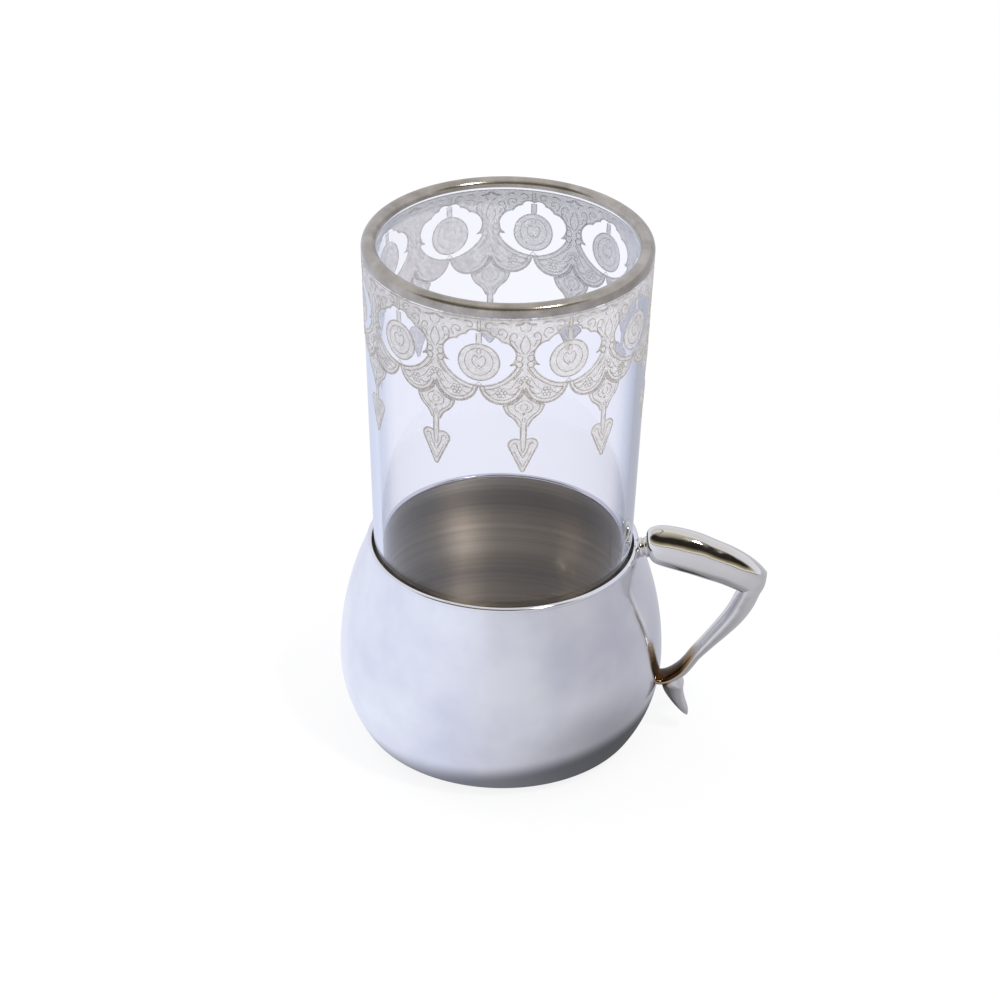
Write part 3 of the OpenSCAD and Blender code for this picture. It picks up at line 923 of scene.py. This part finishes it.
def makeFrieze(frost, lines):
    tree = makeWrapTree()
    fieldR = repeatWidth * frieze["repeats"] / (2 * math.pi)
    pendantR = glassOut(medallionZ + peakY - frieze["pendantHeight"] / 2)
    fieldEnd = scallopY - 0.6 * frieze["cuspDrop"]
    top = frieze["medallionInset"]

    # The lace field with its windows
    coat, work = bmesh.new(), bmesh.new()
    field = [box(-half, fieldEnd, half, top)] + scallopShapes()
    for row, closed in addCoat(coat, field, windowShapes(), openSides=True):
        middle = sum(y for x, y in row) / len(row)
        if closed:
            addLine(work, row, frieze["windowLine"], inset=frieze["edgeInset"], closed=True)
        elif middle < fieldEnd:
            addLine(work, row, frieze["scallopLine"], inset=frieze["edgeInset"])
            addLine(work, row, frieze["lineWidth"], inset=frieze["bandInset"])
    drawFieldLines(work)
    wrapMotif("laceField", coat, tree, 0, fieldR, frost, "frieze_field")
    wrapMotif("laceFieldLines", work, tree, 0, fieldR, lines)

    # The medallions on their stems
    coat, work = bmesh.new(), bmesh.new()
    addCoat(coat, medallionShapes())
    drawMedallionLines(work)
    wrapMotif("laceMedallions", coat, tree, 0, fieldR, frost, "frieze_medallions")
    wrapMotif("laceMedallionLines", work, tree, 0, fieldR, lines)

    # The pendants, cut along the scallops on both sides of their peak
    coat, work = bmesh.new(), bmesh.new()
    cut = [[(x - half, y) for x, y in shape] for shape in scallopShapes()]
    cut += [[(x + half, y) for x, y in shape] for shape in scallopShapes()]
    cut.append(box(-half, peakY, half, top))
    for row, closed in addCoat(coat, pendantShapes(), cut):
        addLine(work, row, frieze["pendantLine"], inset=frieze["pendantInset"], closed=closed)
    drawPendantLines(work)
    wrapMotif("lacePendants", coat, tree, 0.5, pendantR, frost, "frieze_pendants")
    wrapMotif("lacePendantLines", work, tree, 0.5, pendantR, lines)


def drawFieldLines(bm):
    # Band under the window, from the knot of the column to the cusp
    bandR = windowBowlR + frieze["bandInset"]
    for start, end in ((-84, -18), (-96, -162)):
        addLine(bm, arc(0, windowBowlY, bandR, start, end, 24), 0.26)
    # Rosette and two pairs of leaves in each scallop
    for sign in (-1, 1):
        addFlower(bm, sign * scallopX, -7.45, 0.8, 6, 0.42)
    addCurve(bm, [(3.5, -7.6), (2.6, -8.1), (1.6, -7.6), (1.1, -6.9)])
    addCurve(bm, [(3.5, -6.9), (2.6, -6.7), (1.7, -6.9), (1.1, -6.9)], fine)
    addCurve(bm, [(6.1, -7.6), (7.1, -7.9), (8.1, -7.1), (8.8, -6.2)])
    addCurve(bm, [(6.0, -6.7), (6.9, -6.1), (7.7, -4.9), (8.5, -3.6)], fine)
    # Knot on the column, with a small flower under it
    for up in (0.85, -0.65):
        for sign in (-1, 1):
            addLoop(bm, sign * (half - 1.25), up, 0.72, width=0.26)
    addCurve(bm, [(half - 0.4, -1.5), (half - 1.2, -2.9), (half - 2.5, -4.3)])
    for sign in (-1, 1):
        addLoop(bm, sign * (half - 0.45), -3.9, 0.42)
        addLoop(bm, sign * (half - 0.8), -4.8, 0.42)
    addCurve(bm, [(half - 0.1, -4.7), (half - 1.0, -5.7), (half - 2.1, -6.4)], 0.3)
    # Lily above the knot: pointed middle petal, curled side leaves, and a chevron on top
    addCurve(bm, [(half - 0.1, 1.7), (half - 0.95, 3.1), (half - 0.9, 4.6), (half - 0.1, 6.4)])
    addCurve(bm, [(half - 0.8, 1.9), (half - 2.2, 3.0), (half - 3.1, 4.6), (half - 3.2, 6.0),
                  (half - 2.5, 6.9), (half - 1.7, 6.4), (half - 2.0, 5.6)], 0.26)
    addCurve(bm, [(half - 1.5, 3.4), (half - 2.1, 4.3), (half - 2.2, 5.2)], fine)
    addCurve(bm, [(half - 0.3, 7.2), (half - 1.0, 7.7), (half - 1.1, 8.5)])
    addCurve(bm, [(half - 0.1, 9.5), (half - 1.1, 8.9), (half - 2.3, 8.8)], 0.5)
    # Scrolls over the shoulders and the crown of the window
    addCurve(bm, [(5.2, 5.4), (5.9, 6.6), (5.3, 7.7), (4.2, 7.6), (3.9, 6.8), (4.6, 6.4),
                  (4.9, 6.9)])
    addCurve(bm, [(3.2, 8.8), (2.4, 9.3), (1.5, 8.9), (1.4, 8.0), (2.2, 7.7), (2.6, 8.2)])
    addCurve(bm, [(7.4, 4.6), (6.7, 5.2), (6.4, 4.3), (6.9, 3.6)], fine)
    addCurve(bm, [(6.2, 8.7), (5.2, 9.3), (4.2, 9.1)])
    addCurve(bm, [(0.35, 6.9), (0.35, 8.2), (0.3, 9.6)], 0.22)
    addLine(bm, [(-half, 9.9), (0, 9.9), (half, 9.9)], fine)


def drawMedallionLines(bm):
    outer = frieze["medallionWidth"] / 2
    addLoop(bm, 0, medallionY, outer - 0.15, width=0.3)
    addLoop(bm, 0, medallionY + 0.1, outer - 1.5, outer - 1.3)
    addCurve(bm, [(0.1, -1.9), (1.2, -0.8), (1.4, 0.5), (0.7, 1.2), (0.1, 0.5)])
    addCurve(bm, [(0.1, 1.5), (0.5, 2.1), (0.1, 2.9)], fine)
    addLoop(bm, 0, -1.25, 0.16, width=0.3, step=0.2)
    edge = medallionStem - 0.12
    addCurve(bm, [(edge, 4.2), (edge, 5.3), (edge, 6.5)])


def drawPendantLines(bm):
    addCurve(bm, [(0.2, -8.2), (1.6, -8.9), (2.9, -9.7), (3.4, -10.8), (2.9, -12.1), (1.6, -13.2),
                  (0.75, -14.2), (0.45, -15.6)])
    addCurve(bm, [(0.1, -9.2), (1.0, -9.7), (1.9, -10.6), (1.6, -11.8), (0.6, -12.4)], 0.22)
    addCurve(bm, [(0.1, -10.1), (0.8, -10.8), (0.6, -11.5), (0.1, -11.8)], fine)
    addLoop(bm, 0, -12.6, 0.2, width=0.36, step=0.2)
    addCurve(bm, [(0.1, -13.4), (0.35, -14.0), (0.1, -14.6)], fine)
    addCurve(bm, [(0.62, -18.4), (0.5, -19.6), (0.42, -20.9), (0.05, -22.0)])
    addCurve(bm, [(2.5, -20.2), (1.9, -19.6), (1.3, -20.1), (1.1, -21.1), (0.05, -23.4)], 0.26)
    addCurve(bm, [(1.9, -21.6), (1.1, -23.4), (0.05, -25.6)], fine)


polishedSilver = makePolishedSilver()
spunSilver = makeSpunSilver()
castSilver = makeCastSilver()
clearGlass = makeClearGlass()
platinumLustre = makePlatinumLustre()
frostedEnamel = makeEnamel("frostedEnamel", "#c3bfba", "#dcd9d6", 0.42, 0.45)
lineEnamel = makeEnamel("lineEnamel", "#9c958e", "#b9b3ad", 0.55, 0.35)
makeBowl(polishedSilver, spunSilver)
makeBead(polishedSilver)
makeTumbler(clearGlass)
makeLustre(platinumLustre)
print("turned pieces made")
makeHandle(castSilver)
print("handle made")
makeFrieze(frostedEnamel, lineEnamel)
print("frieze made")


# Floor, light and camera, with the studio in metres and the view in millimetres

stage = {
    "floorSize": 6.0,
    "floorSink": 0.0001,
    "floorColor": "#f4f5fb",
    "floorLift": 0.85,
    "ambient": 0.9,
    "lampColor": (1.0, 0.99, 0.97),
    "lampAim": (0.0, 0.0, 0.05),
    "tableEnd": (18.5, 19.2),
    "frontTurn": (-0.1, -0.45),
}
softbox = {"power": 4.0, "size": 0.8, "place": (-0.9, 0.45, 1.2), "shown": False}
windowLight = {"power": 4.0, "size": 0.12, "place": (0.46, -0.4, 1.0), "shown": True}
# The object's shade on the table, as the metal mirrors it: darkest up to near, none beyond far
sideShade = {"middle": (0.035, -0.02, 0.0), "near": 0.0, "far": 0.05, "least": 0.55}
footShade = {"middle": (0.005, -0.001, 0.0), "near": 0.031, "far": 0.0385, "least": 0.3}
# What the metal mirrors of the studio: the table from left to right, with painted light and shade
# that make it lighter on the left and darker on the right, and the front and the back wall by the
# height in degrees
tableTones = [(0.0, "#eef2ff"), (0.3, "#e4e7f4"), (0.5, "#d9dae3"), (0.75, "#cecfd6"),
              (1.0, "#bfbfc6")]
frontTones = [(19, "#1d1b17"), (20.3, "#2b2822"), (20.8, "#fffaee"), (22.5, "#e8e2d0"),
              (26, "#aaa088"), (32, "#595040"), (36, "#24201a"), (52, "#2a2722"),
              (58, "#8a8373"), (68, "#b3ac9d"), (82, "#cdc9be"), (90, "#e9e7e3")]
backTones = [(10, "#eef0fc"), (60, "#e0dfe0"), (90, "#e6e4e0")]
white = hexColor("#ffffff")


# Tells the rays that come from the camera or through the glass, and those that left the metal
def sortRays(tree):
    path = addNode(tree, "ShaderNodeLightPath").outputs
    direct = addNode(tree, "ShaderNodeMath", {0: path["Is Camera Ray"],
                                              1: path["Is Transmission Ray"]},
                     operation="MAXIMUM")
    afterMirror = addNode(tree, "ShaderNodeMath", {0: path["Glossy Depth"], 1: 0.5},
                          operation="GREATER_THAN")
    return direct, afterMirror


# The table's tone towards one side, and the direction to that side
def mirroredTable(tree, place):
    unit = addNode(tree, "ShaderNodeVectorMath", {0: place}, operation="NORMALIZE")
    turn = addNode(tree, "ShaderNodeSeparateXYZ", {"Vector": unit}).outputs
    sideways = addNode(tree, "ShaderNodeMapRange",
                       {"Value": turn["X"], "From Min": -1.0, "From Max": 1.0})
    tone = addNode(tree, "ShaderNodeValToRGB", {"Fac": sideways}, tableTones)
    return tone, turn


# Painted shade round a middle on the table: least up to near, none beyond far
def shadeAround(tree, place, middle, near, far, least):
    away = addNode(tree, "ShaderNodeVectorMath", {0: place, 1: middle}, operation="DISTANCE")
    return addNode(tree, "ShaderNodeMapRange",
                   {"Value": away.outputs["Value"], "From Min": near, "From Max": far,
                    "To Min": least}, interpolation_type="SMOOTHSTEP")


# A pale matt table. What the camera and the glass see of it is lifted to white, shadow kept, and
# the metal sees a glow painted with the tones and the object's painted shade. Inputs 6 and 7 of a
# Mix node are its colours, and output 2 is their mix
def makeFloor():
    material, tree, coords = newMaterial("paleTable")
    place = coords["Object"]
    grain = addNode(tree, "ShaderNodeTexNoise", {"Vector": place, "Scale": 300.0})
    bump = addNode(tree, "ShaderNodeBump", {"Height": grain, "Strength": 0.05, "Distance": 0.0005})
    tone = mirroredTable(tree, place)[0]
    shade = addNode(tree, "ShaderNodeMath", {0: shadeAround(tree, place, **sideShade),
                                             1: shadeAround(tree, place, **footShade)},
                    operation="MULTIPLY")
    glow = addNode(tree, "ShaderNodeVectorMath", {0: tone, "Scale": shade}, operation="SCALE")
    direct, afterMirror = sortRays(tree)
    seen = addNode(tree, "ShaderNodeMath", {0: direct, 1: stage["floorLift"]}, operation="MULTIPLY")
    lift = addNode(tree, "ShaderNodeMath", {0: seen, 1: afterMirror}, operation="MAXIMUM")
    color = addNode(tree, "ShaderNodeMix", {0: afterMirror, 6: white, 7: glow}, data_type="RGBA")
    matt = addNode(tree, "ShaderNodeBsdfDiffuse", {"Color": hexColor(stage["floorColor"]),
                                                   "Normal": bump})
    shine = addNode(tree, "ShaderNodeEmission", {"Color": color.outputs[2], "Strength": 1.0})
    both = addNode(tree, "ShaderNodeMixShader", {0: lift, 1: matt, 2: shine})
    addNode(tree, "ShaderNodeOutputMaterial", {"Surface": both})
    bm = bmesh.new()
    bmesh.ops.create_grid(bm, x_segments=2, y_segments=2, size=stage["floorSize"] / 2)
    bmesh.ops.translate(bm, verts=bm.verts[:], vec=(0, 0, -stage["floorSink"]))
    floor = meshObject("floor", bm)
    floor.data.materials.append(material)


# A height in degrees as the share of the way from straight down to straight up
def level(degrees):
    return (math.sin(math.radians(degrees)) + 1) / 2


# A studio that is white to the eye and through the glass. What the metal mirrors is the pale table,
# a dark band with a warm line in front, and pale walls behind and overhead
def makeWorld():
    world = bpy.data.worlds.new("studio")
    bpy.context.scene.world = world
    world.use_nodes = True
    tree = world.node_tree
    tree.nodes.clear()
    way = addNode(tree, "ShaderNodeTexCoord").outputs["Generated"]
    axes = addNode(tree, "ShaderNodeSeparateXYZ", {"Vector": way}).outputs
    height = addNode(tree, "ShaderNodeMapRange",
                     {"Value": axes["Z"], "From Min": -1.0, "From Max": 1.0})
    flatWay = addNode(tree, "ShaderNodeCombineXYZ", {"X": axes["X"], "Y": axes["Y"]})
    low, turn = mirroredTable(tree, flatWay)
    front, back = [addNode(tree, "ShaderNodeValToRGB", {"Fac": height},
                           [(level(degrees), color) for degrees, color in tones])
                   for tones in (frontTones, backTones)]
    frontShare = addNode(tree, "ShaderNodeMapRange",
                         {"Value": turn["Y"], "From Min": stage["frontTurn"][0],
                          "From Max": stage["frontTurn"][1]}, interpolation_type="SMOOTHSTEP")
    walls = addNode(tree, "ShaderNodeMix", {0: frontShare, 6: back, 7: front}, data_type="RGBA")
    above = addNode(tree, "ShaderNodeMapRange",
                    {"Value": height, "From Min": level(stage["tableEnd"][0]),
                     "From Max": level(stage["tableEnd"][1])})
    room = addNode(tree, "ShaderNodeMix", {0: above, 6: low, 7: walls.outputs[2]}, data_type="RGBA")
    direct, afterMirror = sortRays(tree)
    ambient = (stage["ambient"],) * 3 + (1.0,)
    light = addNode(tree, "ShaderNodeMix", {0: direct, 6: ambient, 7: white}, data_type="RGBA")
    final = addNode(tree, "ShaderNodeMix", {0: afterMirror, 6: light.outputs[2],
                                            7: room.outputs[2]}, data_type="RGBA")
    background = addNode(tree, "ShaderNodeBackground", {"Color": final.outputs[2], "Strength": 1.0})
    addNode(tree, "ShaderNodeOutputWorld", {"Surface": background})


# A lamp that is shown also makes a highlight on the metal
def makeLamp(name, power, size, place, shown):
    data = bpy.data.lights.new(name, "AREA")
    data.energy = power
    data.size = size
    data.color = stage["lampColor"]
    lamp = linkObject(name, data)
    lamp.location = place
    aim = Vector(stage["lampAim"]) - lamp.location
    lamp.rotation_euler = aim.to_track_quat("-Z", "Y").to_euler()
    lamp.visible_glossy = shown


view = {
    "azimuth": 5.0,
    "elevation": 30.63,
    "distance": 886.0,
    "aimHeight": 57.17,
    "roll": 1.01,
    "lens": 145.5,
    "shift": -0.0036,
}


def makeCamera():
    data = bpy.data.cameras.new("camera")
    data.sensor_width = 36
    data.lens = view["lens"]
    data.shift_x = view["shift"]
    data.clip_start = 0.01
    data.clip_end = 50
    camera = linkObject("camera", data)
    a, e = math.radians(view["azimuth"]), math.radians(view["elevation"])
    back = Vector((math.sin(a) * math.cos(e), -math.cos(a) * math.cos(e), math.sin(e)))
    camera.location = Vector((0, 0, view["aimHeight"])) * mm + back * view["distance"] * mm
    turn = (-back).to_track_quat("-Z", "Y").to_matrix().to_4x4()
    camera.rotation_euler = (turn @ Matrix.Rotation(math.radians(view["roll"]), 4, "Z")).to_euler()
    bpy.context.scene.camera = camera


makeFloor()
makeWorld()
makeLamp("softbox", **softbox)
makeLamp("windowLight", **windowLight)
makeCamera()
bpy.context.scene.view_settings.view_transform = "Standard"
print("stage, light and camera made")
